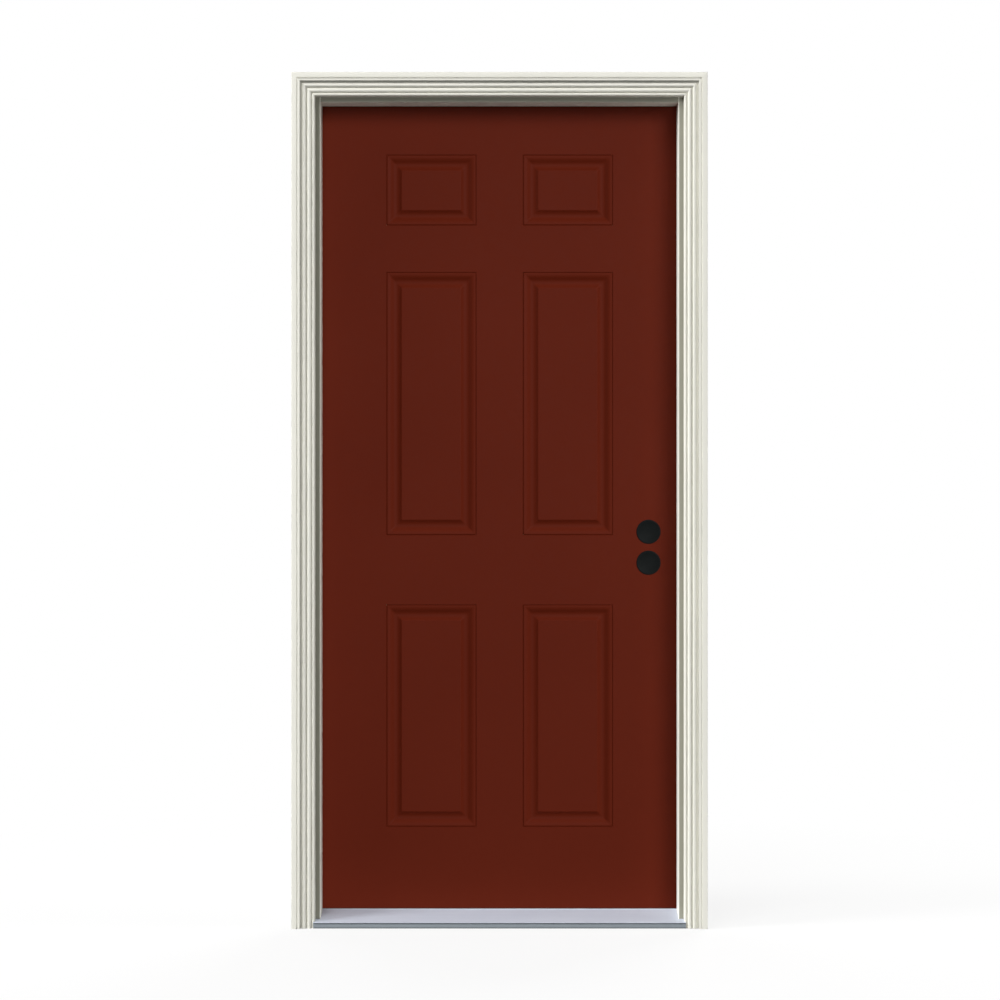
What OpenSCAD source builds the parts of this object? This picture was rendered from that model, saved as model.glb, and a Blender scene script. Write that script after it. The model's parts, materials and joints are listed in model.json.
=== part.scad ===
// Prehung entry door: six-panel steel slab, inswing, hinged on the left seen from outside,
// in its wood frame with brickmould, aluminium sill, adjustable threshold and weatherstrip.
// X runs across the opening, +X to the right seen from outside. +Y runs into the house. +Z is up.
// The origin is on the floor, midway between the jambs, in the plane of the jambs' outside edges,
// which is the plane of the wall's sheathing.

/* [Opening] */
// Clear width between the two side stops
opening_w = 889; // [780:1:920]
// Height of the head stop's underside above the floor
opening_h = 2048; // [1990:1:2200]

/* [Jambs] */
// Depth of the jambs, through the wall
jamb_d = 115.9; // [112:0.1:140]
// Thickness of a jamb at its stop
jamb_t = 31.75; // [28:0.25:38]
// Depth of the rabbet that the slab closes into
rabbet = 12.7; // [11:0.1:14]
// Distance from the slab's outside face to the stop's shoulder, filled by the weatherstrip
seal_gap = 9.45; // [8:0.05:11]

/* [Brickmould] */
// Width of the brickmould's face
mould_w = 57.15; // [56:0.05:70]
// Thickness of the brickmould at its outer band
mould_t = 31.75; // [31:0.25:36]
// Jamb edge left showing inside the brickmould
reveal = 12.7; // [6:0.1:14]

/* [Slab] */
// Thickness of the slab over both skins
slab_t = 44.45; // [40:0.05:46]
// Gap between the slab and the jambs at the sides and top
slab_gap = 3.2; // [2.6:0.1:4]
// Height of the slab's lower edge above the floor
slab_bottom = 35; // [35:0.5:40]
// Thickness of the steel skins
skin_t = 0.6; // [0.5:0.1:1.2]
// Width of the wood stiles
stile_w = 38; // [30:1:50]

/* [Panels] */
// Distance from the slab's centre line to the near edge of a panel
panel_in = 57.8; // [40:0.1:80]
// Distance from the slab's centre line to the far edge of a panel
panel_out = 285.3; // [260:0.1:290]
// Depth of the pressing at its valley
press_d = 7.3; // [6:0.1:9]

/* [Lock preparation] */
// Distance from the slab's lock edge to the centre of the face bores
backset = 79.4; // [60:0.1:90]
// Radius of the two face bores
face_bore_r = 27; // [20:0.1:28]
// Radius of the two edge bores
edge_bore_r = 12.7; // [10:0.1:13]
// Radius of the two bolt holes in the strike jamb
strike_bore_r = 11.1; // [10:0.1:12.4]
// Height of the lower face bore above the floor
lock_z = 902.6; // [890:0.1:930]
// Height of the upper face bore above the lower one
bore_spacing = 77.7; // [70:0.1:85]
// Radius of the stick-on covers over the face bores
cover_r = 30.5; // [29:0.1:32]

/* [Hinges] */
// Height of each hinge
hinge_h = 101.6; // [89:0.1:114]
// Thickness of the hinge leaves
leaf_t = 2.5; // [2:0.1:3]
// Radius of the hinge barrel
barrel_r = 6.35; // [6:0.05:6.4]
// Radius of the hinge pin
pin_r = 3.8; // [3:0.05:3.9]

/* [Threshold] */
// Height of the threshold cap's top above the floor, fully lowered
cap_top = 25.4; // [24:0.1:25.6]

/* [Hidden] */
$fn = 48;

eps = 0.01;
stop_x = opening_w / 2;
rab_x = stop_x + rabbet;
back_x = stop_x + jamb_t;
rab_z = opening_h + rabbet;
frame_h = opening_h + jamb_t;
slab_y0 = jamb_d - slab_t;
slab_y1 = jamb_d;
shoulder_y = slab_y0 - seal_gap;
slab_x = rab_x - slab_gap;
slab_z0 = slab_bottom;
slab_z1 = rab_z - slab_gap;
mould_in = stop_x + reveal;
mould_out = mould_in + mould_w;
mould_top = opening_h + reveal + mould_w;
kerf_w = 3;
kerf_d = 10.5;
mid_y = (slab_y0 + slab_y1) / 2;

// hinge geometry
axis_x = -(rab_x + slab_x) / 2;
axis_y = jamb_d + barrel_r + 0.45;
leaf_far = slab_y0 + 6;
hinge_zs = [slab_z1 - 178 - hinge_h / 2, 0, slab_z0 + 279 + hinge_h / 2];
hinge_z = [hinge_zs[0], (hinge_zs[0] + hinge_zs[2]) / 2, hinge_zs[2]];
knuckle_n = 5;
knuckle_gap = 0.3;
knuckle_h = (hinge_h - (knuckle_n - 1) * knuckle_gap) / knuckle_n;
screw_r = 2.2;
screw_head_r = 4.6;
screw_spots = [[13.5, 38], [27, 13], [27, -13], [13.5, -38]];
frame_screw_l = min(17.5, jamb_t - rabbet - 1.4);
door_screw_l = 25;
corner_r = 15.9;

// lock positions
bore_x = slab_x - backset;
bore_zs = [lock_z, lock_z + bore_spacing];
lock_mid = lock_z + bore_spacing / 2;

// panels: [low z, high z] of each row, from the floor
panel_rows = [[237.7, 797.5], [970.9, 1633.4], [1749.5, 1928.4]];
panel_w = panel_out - panel_in;

cream = [0.95, 0.945, 0.90];
greige = [0.76, 0.755, 0.70];
door_red = [0.357, 0.129, 0.078];
pine = [0.80, 0.66, 0.46];
alu = [0.74, 0.76, 0.80];
nickel = [0.72, 0.70, 0.66];
foam_c = [0.93, 0.87, 0.66];
seal_c = [0.93, 0.92, 0.87];

// ---------- helpers ----------

function arc(cx, cy, rx, ry, a0, a1, n) =
  [for (i = [0:n]) let (a = a0 + (a1 - a0) * i / n) [cx + rx * cos(a), cy + ry * sin(a)]];

// a box given by its limits
module box(x0, x1, y0, y1, z0, z1) {
  translate([x0, y0, z0]) cube([x1 - x0, y1 - y0, z1 - z0]);
}

// a section drawn in X-Y, run up Z
module post(points, z0, z1) {
  translate([0, 0, z0]) linear_extrude(height = z1 - z0) polygon(points);
}

// a section drawn in Y-Z, run along X
module rail(points, x0, x1) {
  translate([x0, 0, 0]) rotate([90, 0, 90]) linear_extrude(height = x1 - x0) polygon(points);
}

// an outline drawn in X-Z, run along Y
module plate_xz(points, y0, y1) {
  translate([0, y1, 0]) rotate([90, 0, 0]) linear_extrude(height = y1 - y0) polygon(points);
}

// a rod along +X from x0 to x1
module rod_x(r, x0, x1, y, z) {
  translate([x0, y, z]) rotate([0, 90, 0]) cylinder(r = r, h = x1 - x0);
}

// countersunk wood screw, head flush at the origin, running along +Z, with a cross recess
module wood_screw(l, head_r = screw_head_r, r = screw_r) {
  difference() {
    union() {
      cylinder(r1 = head_r, r2 = r, h = 2.4);
      translate([0, 0, 2.4]) cylinder(r = r, h = l - 5.4);
      translate([0, 0, l - 3]) cylinder(r1 = r, r2 = 0.3, h = 3);
    }
    translate([-2.6, -0.5, -1]) cube([5.2, 1, 2.1]);
    translate([-0.5, -2.6, -1]) cube([1, 5.2, 2.1]);
  }
}

// the room a screw needs in the wood behind a leaf or a jamb
module pilot(l, r = screw_r + 0.1) {
  translate([0, 0, -0.5]) cylinder(r = r, h = l + 1);
}

// ---------- frame ----------

// section of a side jamb on the +X side: stop, rabbet, kerf for the weatherstrip, eased edges
jamb_pts = [
  [stop_x + 1, 0], [back_x, 0], [back_x, jamb_d], [rab_x + 1, jamb_d], [rab_x, jamb_d - 1],
  [rab_x, shoulder_y - kerf_d], [rab_x - kerf_w, shoulder_y - kerf_d], [rab_x - kerf_w, shoulder_y],
  [stop_x + 1, shoulder_y], [stop_x, shoulder_y - 1], [stop_x, 1]
];

// with a notch through the stop, so the head's kerf runs on into the side's kerf
module side_jamb() difference() {
  post(jamb_pts, 0, frame_h);
  box(stop_x - 1, rab_x - kerf_w + 0.5, shoulder_y - kerf_d, shoulder_y + 1, rab_z - kerf_w, rab_z);
}

// the two screws that pin each jamb to the sill, and the two that pin it to the head
sill_spots = [[22, 7.5], [96, 8]];
head_spots = [[20, frame_h - 9], [88, frame_h - 9]];
joint_l = 52;

module joint_holes(spots) {
  for (p = spots)
    translate([back_x, p[0], p[1]]) rotate([0, -90, 0]) {
      pilot(joint_l);
      translate([0, 0, -0.5]) cylinder(r = screw_head_r + 0.2, h = 0.5 + eps);
      cylinder(r1 = screw_head_r + 0.2, r2 = screw_r + 0.2, h = 2.4);
    }
}

module joint_screws(spots) {
  for (s = [-1, 1]) for (p = spots)
    translate([s * back_x, p[0], p[1]]) rotate([0, -90 * s, 0]) wood_screw(joint_l);
}

// outline of a hinge leaf seen along X: y from its far edge, z about the hinge's middle
module leaf_outline(t, grow = 0) {
  h = hinge_h + 2 * grow;
  y0 = leaf_far - grow;
  r = corner_r;
  union() {
    box(0, t, y0 + r, jamb_d + 0.5, -h / 2, h / 2);
    box(0, t, y0, y0 + r + 1, -h / 2 + r, h / 2 - r);
    for (s = [-1, 1]) rod_x(r, 0, t, y0 + r, s * (h / 2 - r));
  }
}

module hinge_jamb() color(greige) difference() {
  mirror([1, 0, 0]) side_jamb();
  nail_holes();
  for (z = hinge_z) {
    translate([-rab_x - leaf_t - 0.05, 0, z]) leaf_outline(leaf_t + 2, 0.15);
    for (p = screw_spots)
      translate([-rab_x - leaf_t, leaf_far + p[0], z + p[1]]) rotate([0, -90, 0]) pilot(frame_screw_l - leaf_t + 0.3);
  }
  mirror([1, 0, 0]) { joint_holes(sill_spots); joint_holes(head_spots); }
}

// strike recess and bolt hole at each lock height
module strike_jamb() color(greige) difference() {
  side_jamb();
  nail_holes();
  for (z = bore_zs) {
    box(rab_x - 1, rab_x + 2, mid_y - 14.3, mid_y + 14.3, z - 28.5, z + 28.5);
    rod_x(strike_bore_r, rab_x - 1, back_x + 1, mid_y, z);
  }
  joint_holes(sill_spots);
  joint_holes(head_spots);
}

// the head butts between the side jambs: its stop between the stops, its rabbet between the rabbets
head_pts = [
  [1, opening_h], [shoulder_y - 1, opening_h], [shoulder_y, opening_h + 1], [shoulder_y, rab_z - kerf_w],
  [shoulder_y - kerf_d, rab_z - kerf_w], [shoulder_y - kerf_d, rab_z], [shoulder_y + 6, rab_z],
  [shoulder_y + 6, frame_h], [0, frame_h], [0, opening_h + 1]
];
head_rab_pts = [
  [shoulder_y, rab_z], [jamb_d - 1, rab_z], [jamb_d, rab_z + 1], [jamb_d, frame_h], [shoulder_y, frame_h]
];

module head_jamb() color(greige) difference() {
  union() {
    rail(head_pts, -stop_x, stop_x);
    rail(head_rab_pts, -rab_x, rab_x);
  }
  nail_holes();
  joint_holes(head_spots);
  mirror([1, 0, 0]) joint_holes(head_spots);
}

// brickmould section: a from its outer edge towards the opening, b up from its back.
// Outer band, a narrow groove and a fillet, then three reeds that step down, and a shallow plough in the back.
step_a = (mould_w - 57.15) / 2;
mould_pts = concat(
  [[0, 0]],
  arc(0.9, mould_t - 0.9, 0.9, 0.9, 180, 90, 4),
  [[12.7 + step_a, mould_t], [13 + step_a, mould_t - 2.1], [14.3 + step_a, mould_t - 2.1], [14.8 + step_a, mould_t - 1]],
  arc(18.2 + step_a, mould_t - 1.4, 3.2, 0.9, 150, 0, 8),
  [[21.6 + step_a, 22.3], [25 + step_a, 21.9]],
  arc(31.9 + step_a, 22.3, 6.4, 4.6, 172, 90, 7),
  arc(31.9 + step_a, 22.3, 4.5, 4.6, 80, 0, 6),
  [[36.6 + step_a, 20.2], [37.3 + step_a, 20.2]],
  arc(43.2 + step_a, 20.4, 5.5, 5, 176, 4, 14),
  [[48.9 + step_a, 18.3], [49.6 + step_a, 18.3]],
  arc(mould_w - 3.65, 18.2, 3.65, 4.3, 172, 0, 10),
  [[mould_w, 0], [38 - 1, 0], [38 - 1.6, 1.6], [31.6, 1.6], [31, 0]]
);

// the mitre runs through the inner and outer corners of the mouldings
mitre = mould_in - (opening_h + reveal);

module mould_side(s) difference() {
  intersection() {
    post([for (p = mould_pts) [s * (mould_out - p[0]), -p[1]]], 0, mould_top);
    plate_xz([[s * (mould_in - 5), -5], [s * (mould_out + 5), -5], [s * (mould_out + 5), mould_out + 5 - mitre],
              [s * (mould_in - 5), mould_in - 5 - mitre]], -mould_t - 5, 5);
  }
  nail_holes();
  // notched over the end of the sill's nosing
  mirror([s < 0 ? 1 : 0, 0, 0])
    rail([[-45, -1], [0.1, -1], [0.1, deck_z(0) + 0.3], [sill_y0 - 2, deck_z0 + 0.6], [-45, deck_z0 + 0.6]], mould_in - 1, nose_x + 0.1);
}

module brickmould_left() color(cream) mould_side(-1);
module brickmould_right() color(cream) mould_side(1);
module brickmould_head() color(cream) difference() {
  intersection() {
    rail([for (p = mould_pts) [-p[1], mould_top - p[0]]], -mould_out, mould_out);
    plate_xz([[-(mould_in - 5), mould_in - 5 - mitre], [mould_in - 5, mould_in - 5 - mitre],
              [mould_out + 5, mould_out + 5 - mitre], [-(mould_out + 5), mould_out + 5 - mitre]], -mould_t - 5, 5);
  }
  nail_holes();
}

// finishing nails, set below the face of the brickmould and driven into the jambs' edges
nail_a = mould_w - 4.5;
nail_side_z = [120, 480, 840, 1200, 1560, 1920];
nail_head_x = [-360, -120, 120, 360];
module nail(grow = 0) translate([0, -17, 0]) rotate([-90, 0, 0]) {
  cylinder(r = 1.1 + grow, h = 48 + grow);
  translate([0, 0, -0.8 - grow]) cylinder(r = 1.5 + grow, h = 0.8 + 2 * grow);
}
module nails(grow = 0) {
  for (s = [-1, 1]) for (z = nail_side_z) translate([s * (mould_out - nail_a), 0, z]) nail(grow);
  for (x = nail_head_x) translate([x, 0, mould_top - nail_a]) nail(grow);
}
module nail_holes() nails(0.05);
module brickmould_nails() color("dimgray") nails();

// ---------- sill ----------

sill_y0 = -25;
nose_over = 4;
nose_x = mould_in + nose_over;
deck_t = 1.5;
deck_z0 = 15.3;
deck_z1 = 32;
lip_y = slab_y0 - 0.65;
lip_z = 33.4;
channel_z = 18.5;
function deck_z(y) = deck_z0 + (y - sill_y0) * (deck_z1 - deck_z0) / (lip_y - 5.4 - sill_y0);

// aluminium deck: nosing with a shadow groove, sloping deck, raised lip, channel for the threshold cap
deck_pts = [
  [sill_y0 + deck_t + 1, 0.6], [sill_y0, 0.6], [sill_y0, 9.2], [sill_y0 + 0.4, 9.8], [sill_y0 + 1.4, 10],
  [sill_y0 + 1.4, 13.9], [sill_y0 - 1.2, 14.1], [sill_y0 - 1.6, 14.6], [sill_y0 - 1.2, 15.1], [sill_y0, deck_z0],
  [lip_y - 5.4, deck_z1], [lip_y - 4.6, lip_z - 0.4], [lip_y - 3.8, lip_z], [lip_y - 0.8, lip_z], [lip_y, lip_z - 0.6],
  [lip_y, channel_z], [jamb_d - 1.7, channel_z], [jamb_d - 1.7, 27], [jamb_d - 1.3, 27.6],
  [jamb_d - 0.4, 27.6], [jamb_d, 27], [jamb_d, channel_z - deck_t],
  [lip_y - deck_t, channel_z - deck_t], [lip_y - deck_t, deck_z1 - 1.2], [lip_y - 5.4, deck_z1 - 1.6],
  [sill_y0 + deck_t + 1, deck_z0 - 1.0]
];

base_pts = [
  [sill_y0 + deck_t + 1.1, 0], [jamb_d, 0], [jamb_d, channel_z - deck_t], [lip_y - deck_t - 0.1, channel_z - deck_t],
  [lip_y - deck_t - 0.1, deck_z1 - 1.5], [lip_y - 5.4, deck_z1 - 1.8], [sill_y0 + deck_t + 1.1, deck_z0 - 1.2]
];

// the sill runs into the brickmoulds' notches in front, between the stops in the middle and the rabbets behind
module sill_plan(inset) {
  sx = stop_x - inset; rx = rab_x - inset; mx = nose_x - inset;
  translate([0, 0, -5]) linear_extrude(height = 60) polygon([
    [-mx, sill_y0 - 5], [mx, sill_y0 - 5], [mx, -0.1], [sx, -0.1], [sx, shoulder_y + 0.1], [rx, shoulder_y + 0.1],
    [rx, jamb_d + 5], [-rx, jamb_d + 5], [-rx, shoulder_y + 0.1], [-sx, shoulder_y + 0.1], [-sx, -0.1], [-mx, -0.1]
  ]);
}

cap_screw_x = [-360, -120, 120, 360];
cap_y0 = slab_y0 + 0.5;
cap_y1 = jamb_d - 2.7;
cap_my = (cap_y0 + cap_y1) / 2;

module sill_base() color(pine) difference() {
  intersection() { rail(base_pts, -nose_x, nose_x); sill_plan(0.1); }
  for (x = cap_screw_x) translate([x, cap_my, 1.5]) cylinder(r = 2.6, h = 60);
  joint_holes(sill_spots);
  mirror([1, 0, 0]) joint_holes(sill_spots);
}

module sill_deck() color(alu) difference() {
  intersection() { rail(deck_pts, -nose_x, nose_x); sill_plan(0.1); }
  for (x = cap_screw_x) translate([x, cap_my, 10]) cylinder(r = 3.5, h = 12);
}

module sill_joint_screws() color("dimgray") joint_screws(sill_spots);
module head_joint_screws() color("dimgray") joint_screws(head_spots);

// the cap slides up and down in the deck's channel on four screws
cap_pts = [
  [cap_y0 + 1.2, channel_z + 0.2], [cap_y1 - 0.6, channel_z + 0.2], [cap_y1, channel_z + 0.8], [cap_y1, cap_top - 1.8],
  [cap_y1 - 0.6, cap_top - 0.8], [cap_y1 - 2.2, cap_top - 0.3], [cap_y1 - 8, cap_top], [cap_y0 + 8, cap_top],
  [cap_y0 + 2.2, cap_top - 0.3], [cap_y0 + 0.6, cap_top - 0.8], [cap_y0, cap_top - 1.8], [cap_y0, channel_z + 0.8]
];
cap_x = rab_x - 1.6;

module threshold_cap() color([0.80, 0.77, 0.70]) difference() {
  rail(cap_pts, -cap_x, cap_x);
  for (x = cap_screw_x) translate([x, cap_my, 0]) {
    cylinder(r = 2.9, h = 60);
    translate([0, 0, cap_top - 3.4]) cylinder(r = 6, h = 10);
  }
}

module threshold_screws() color("silver") for (x = cap_screw_x) translate([x, cap_my, 0]) difference() {
  union() {
    translate([0, 0, 5]) cylinder(r = 2.5, h = cap_top - 3.4 - 5 + eps);
    translate([0, 0, cap_top - 3.4]) cylinder(r = 5.2, h = 2.4);
  }
  translate([-3, -0.6, cap_top - 2.4]) cube([6, 1.2, 3]);
  translate([-0.6, -3, cap_top - 2.4]) cube([1.2, 6, 3]);
}

// ---------- seals ----------

// weatherstrip section, p from the stop's face outwards, y along the wall: barbed leg, spine, foam bulb
ws_y = slab_y0 - 0.3;
leg0 = rabbet - kerf_w + 0.6;
leg1 = rabbet - 0.6;
ws_pts = concat(
  [[leg0, shoulder_y + 0.05], [leg0, shoulder_y - 9.4], [(leg0 + leg1) / 2, shoulder_y - 10.2], [leg1, shoulder_y - 9.4],
   [leg1, shoulder_y + 0.05], [rabbet - 0.35, shoulder_y + 0.05], [rabbet - 0.35, shoulder_y + 3.5]],
  arc(rabbet - 3.6, ws_y - 3.6, 3.25, 3.6, 10, 90, 5),
  arc(5.6, ws_y - 4.2, 4.4, 4.2, 90, 180, 6),
  [[1.5, shoulder_y + 2.2], [2.6, shoulder_y + 0.05]]
);
ws_z0 = lip_z + 0.4;

module ws_side(s) intersection() {
  post([for (p = ws_pts) [s * (stop_x + p[0]), p[1]]], ws_z0, frame_h);
  plate_xz([[s * (stop_x - 5), -5], [s * (rab_x + 5), -5], [s * (rab_x + 5), rab_z + 5], [s * (stop_x - 5), opening_h - 5]],
           0, jamb_d);
}
module weatherstrip_hinge_side() color(seal_c) ws_side(-1);
module weatherstrip_latch_side() color(seal_c) ws_side(1);
module weatherstrip_head() color(seal_c) intersection() {
  rail([for (p = ws_pts) [p[1], opening_h + p[0]]], -rab_x, rab_x);
  plate_xz([[-(stop_x - 5), opening_h - 5], [stop_x - 5, opening_h - 5], [rab_x + 5, rab_z + 5], [-(rab_x + 5), rab_z + 5]],
           0, jamb_d);
}

// thin foam pads in the rabbets at the sill
module corner_pads() color([0.25, 0.25, 0.25]) for (s = [-1, 1]) mirror([s < 0 ? 1 : 0, 0, 0])
  box(rab_x - 1.2, rab_x, slab_y0 + 1, slab_y0 + 26, 28.6, 78);

// vinyl sweep under the slab: a base, two barbs in the bottom rail's kerfs, three fins
sweep_y0 = slab_y0 + 2;
sweep_y1 = slab_y1 - 2;
sweep_z = slab_z0 - 1.3;
fin_z = cap_top + 3.4;
module fin(y) { rail([[y, sweep_z + 0.1], [y + 1.6, sweep_z + 0.1], [y + 3.0, fin_z + 0.5], [y + 2.6, fin_z], [y + 1.9, fin_z + 0.2]], -slab_x + 1, slab_x - 1); }
module barb(y) { rail([[y - 0.6, slab_z0 - 0.4], [y + 0.6, slab_z0 - 0.4], [y + 0.6, slab_z0 + 7], [y, slab_z0 + 8], [y - 0.6, slab_z0 + 7]], -rail_x + 1, rail_x - 1); }
barb_ys = [slab_y0 + 12, slab_y1 - 12];
module door_sweep() color([0.30, 0.13, 0.10]) union() {
  rail([[sweep_y0, sweep_z], [sweep_y1, sweep_z], [sweep_y1, slab_z0], [sweep_y0, slab_z0]], -slab_x + 1, slab_x - 1);
  fin(sweep_y0 + 1.5);
  fin((sweep_y0 + sweep_y1) / 2 - 1);
  fin(sweep_y1 - 6);
  for (y = barb_ys) barb(y);
}

// ---------- slab ----------

// Pressed panel: depth against distance in from the panel's edge.
// A fine quirk, a rounded lip, a curve down to the valley, and a hollow bevel up to the raised field.
quirk_in = [[0, 0], [0.4, 0.7], [0.9, 1.3], [1.3, 1.5]];
quirk_out = [[1.6, 1.5], [2.1, 1.25], [2.8, 0.7], [3.6, 0.2], [4.2, 0]];
k = press_d / 7.3;
lip_in = [[3.2, 0], [3.4, 0.12], [5.5, 0.2], [8, 0.5 * k], [10, 1.0 * k], [12, 1.75 * k], [14, 2.75 * k], [16, 3.9 * k],
          [18, 5.1 * k], [20, 6.1 * k], [22, 6.8 * k], [24, 7.2 * k], [25.5, 7.3 * k]];
bevel = [[27, 7.3 * k], [29, 7.0 * k], [31, 6.45 * k], [33, 5.6 * k], [34.8, 4.6 * k], [36.4, 3.5 * k], [37.8, 2.45 * k],
         [38.9, 1.7 * k], [39.7, 1.35], [40.7, 1.25]];

// a removed volume whose depth grows inwards from all four sides, d0 below the face
module sink(w, h, pts, d0) {
  function side(l) = concat([for (p = pts) [-l / 2 + p[0], p[1] + d0]],
                            [for (i = [len(pts) - 1:-1:0]) [l / 2 - pts[i][0], pts[i][1] + d0]],
                            [[l / 2 - pts[0][0], -1], [-l / 2 + pts[0][0], -1]]);
  intersection() {
    translate([0, 0, -h / 2 - 1]) linear_extrude(height = h + 2) polygon(side(w));
    translate([-w / 2 - 1, 0, 0]) rotate([90, 0, 90]) linear_extrude(height = w + 2) polygon([for (p = side(h)) [p[1], p[0]]]);
  }
}

// a pillow of material whose face rises inwards from all four sides
module pillow(w, h, pts, d0) {
  function side(l) = concat([for (p = pts) [-l / 2 + p[0], p[1] + d0]],
                            [for (i = [len(pts) - 1:-1:0]) [l / 2 - pts[i][0], pts[i][1] + d0]],
                            [[l / 2 - pts[0][0], 12], [-l / 2 + pts[0][0], 12]]);
  intersection() {
    translate([0, 0, -h / 2 - 1]) linear_extrude(height = h + 2) polygon(side(w));
    translate([-w / 2 - 1, 0, 0]) rotate([90, 0, 90]) linear_extrude(height = w + 2) polygon([for (p = side(h)) [p[1], p[0]]]);
  }
}

// everything pressed out of one face for one panel; y is depth below the face
module pressing(w, h, d0) {
  difference() { sink(w, h, quirk_in, d0); pillow(w, h, quirk_out, d0); }
  difference() { sink(w, h, lip_in, d0); pillow(w, h, bevel, d0); }
}

// the six pressings of the outside face, sunk d0 below it
module pressings(d0) translate([0, slab_y0, 0])
  for (r = panel_rows) for (s = [-1, 1])
    translate([s * (panel_in + panel_out) / 2, 0, (r[0] + r[1]) / 2]) pressing(panel_w, r[1] - r[0], d0);

// a shape on the outside face, mirrored to the inside face
module to_inside() { translate([0, slab_y0 + slab_y1, 0]) mirror([0, 1, 0]) children(); }

module face_bores() for (z = bore_zs)
  translate([bore_x, slab_y0 - 5, z]) rotate([-90, 0, 0]) cylinder(r = face_bore_r, h = slab_t + 10);
module edge_bores() for (z = bore_zs) rod_x(edge_bore_r, bore_x, slab_x + 5, mid_y, z);

// one pressed sheet, folded round both long edges of the slab
wrap = 9;
module skin() difference() {
  box(-slab_x, slab_x, slab_y0, slab_y0 + wrap, slab_z0, slab_z1);
  pressings(0);
  difference() {
    box(-slab_x + skin_t, slab_x - skin_t, slab_y0 + skin_t, slab_y0 + wrap + 1, slab_z0 - 1, slab_z1 + 1);
    pressings(skin_t);
  }
}

// where the skins are cut away for the hinge leaves
module leaf_notches() for (z = hinge_z) translate([-slab_x - 1, 0, z]) leaf_outline(leaf_t + 1.05, 0.15);

module outer_skin() color(door_red) difference() { skin(); leaf_notches(); face_bores(); }
module inner_skin() color(door_red) difference() { to_inside() skin(); leaf_notches(); face_bores(); }

core_y0 = slab_y0 + skin_t;
core_y1 = slab_y1 - skin_t;
top_rail_h = 38;
bottom_rail_h = 50;
block_w = 100;
block_h = 300;

// section of the lock stile: rabbeted at both faces for the folds of the skins
stile_pts = [
  [slab_x - stile_w, core_y0], [slab_x - skin_t, core_y0], [slab_x - skin_t, slab_y0 + wrap], [slab_x, slab_y0 + wrap],
  [slab_x, slab_y1 - wrap], [slab_x - skin_t, slab_y1 - wrap], [slab_x - skin_t, core_y1], [slab_x - stile_w, core_y1]
];

module hinge_stile() color(pine) difference() {
  mirror([1, 0, 0]) post(stile_pts, slab_z0, slab_z1);
  for (z = hinge_z) {
    translate([-slab_x - 2, 0, z]) leaf_outline(leaf_t + 2.05, 0.15);
    for (p = screw_spots) translate([-slab_x + leaf_t, leaf_far + p[0], z + p[1]]) rotate([0, 90, 0]) pilot(door_screw_l - leaf_t + 0.3);
  }
}

module lock_stile() color(pine) difference() {
  post(stile_pts, slab_z0, slab_z1);
  for (z = bore_zs) box(slab_x - 2, slab_x + 1, mid_y - 12.7, mid_y + 12.7, z - 28.5, z + 28.5);
  edge_bores();
}

rail_x = slab_x - stile_w;
module top_rail() color(pine) box(-rail_x, rail_x, core_y0, core_y1, slab_z1 - top_rail_h, slab_z1);
module bottom_rail() color(pine) difference() {
  box(-rail_x, rail_x, core_y0, core_y1, slab_z0, slab_z0 + bottom_rail_h);
  for (y = barb_ys) box(-rail_x - 1, rail_x + 1, y - 0.8, y + 0.8, slab_z0 - 1, slab_z0 + 9);
}
module lock_block() color(pine) difference() {
  box(rail_x - block_w, rail_x, core_y0, core_y1, lock_mid - block_h / 2, lock_mid + block_h / 2);
  face_bores();
  edge_bores();
}

module foam_core() color(foam_c) difference() {
  box(-rail_x, rail_x, core_y0, core_y1, slab_z0 + bottom_rail_h, slab_z1 - top_rail_h);
  pressings(skin_t);
  to_inside() pressings(skin_t);
  box(rail_x - block_w, rail_x + 1, core_y0 - 1, core_y1 + 1, lock_mid - block_h / 2, lock_mid + block_h / 2);
}

// low domed disc, stuck over a face bore on the outside
module bore_cover() rotate([90, 0, 0]) rotate_extrude() polygon(concat(
  [[0, 0], [cover_r - 0.5, 0], [cover_r, 0.35]],
  arc(cover_r - 1.6, 0.35, 1.6, 1.25, 0, 90, 5),
  [[cover_r - 4.2, 1.6], [cover_r - 5.2, 1.1], [0, 1.1]]
));
module bore_cover_upper() color([0.1, 0.11, 0.11]) translate([bore_x, slab_y0, bore_zs[1]]) bore_cover();
module bore_cover_lower() color([0.1, 0.11, 0.11]) translate([bore_x, slab_y0, bore_zs[0]]) bore_cover();

// ---------- hinges ----------

// knuckle i of five, counted from the bottom, about the hinge's middle
function kz(i) = -hinge_h / 2 + i * (knuckle_h + knuckle_gap);

// a leaf with its knuckles. side -1 is the frame's leaf, 1 the door's leaf.
module leaf(side) {
  xs = side < 0 ? -rab_x - leaf_t : -slab_x;
  mine = side < 0 ? [0, 2, 4] : [1, 3];
  difference() {
    union() {
      difference() {
        translate([xs, 0, 0]) leaf_outline(leaf_t);
        // held short of the barrel, apart from at its own knuckles
        box(xs - 1, xs + leaf_t + 1, jamb_d, jamb_d + 5, -hinge_h, hinge_h);
      }
      for (i = mine) {
        box(xs, xs + leaf_t, jamb_d - 1, axis_y, kz(i), kz(i) + knuckle_h);
        translate([axis_x, axis_y, kz(i)]) cylinder(r = barrel_r, h = knuckle_h);
      }
    }
    translate([axis_x, axis_y, -hinge_h]) cylinder(r = pin_r + 0.05, h = 2 * hinge_h);
    for (p = screw_spots)
      translate([side < 0 ? -rab_x : -slab_x, leaf_far + p[0], p[1]]) rotate([0, 90 * side, 0]) {
        translate([0, 0, -0.5]) cylinder(r = screw_head_r + 0.05, h = 0.5 + eps);
        cylinder(r1 = screw_head_r + 0.05, r2 = screw_r + 0.1, h = 2.4);
        cylinder(r = screw_r + 0.1, h = 5);
      }
  }
}

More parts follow.
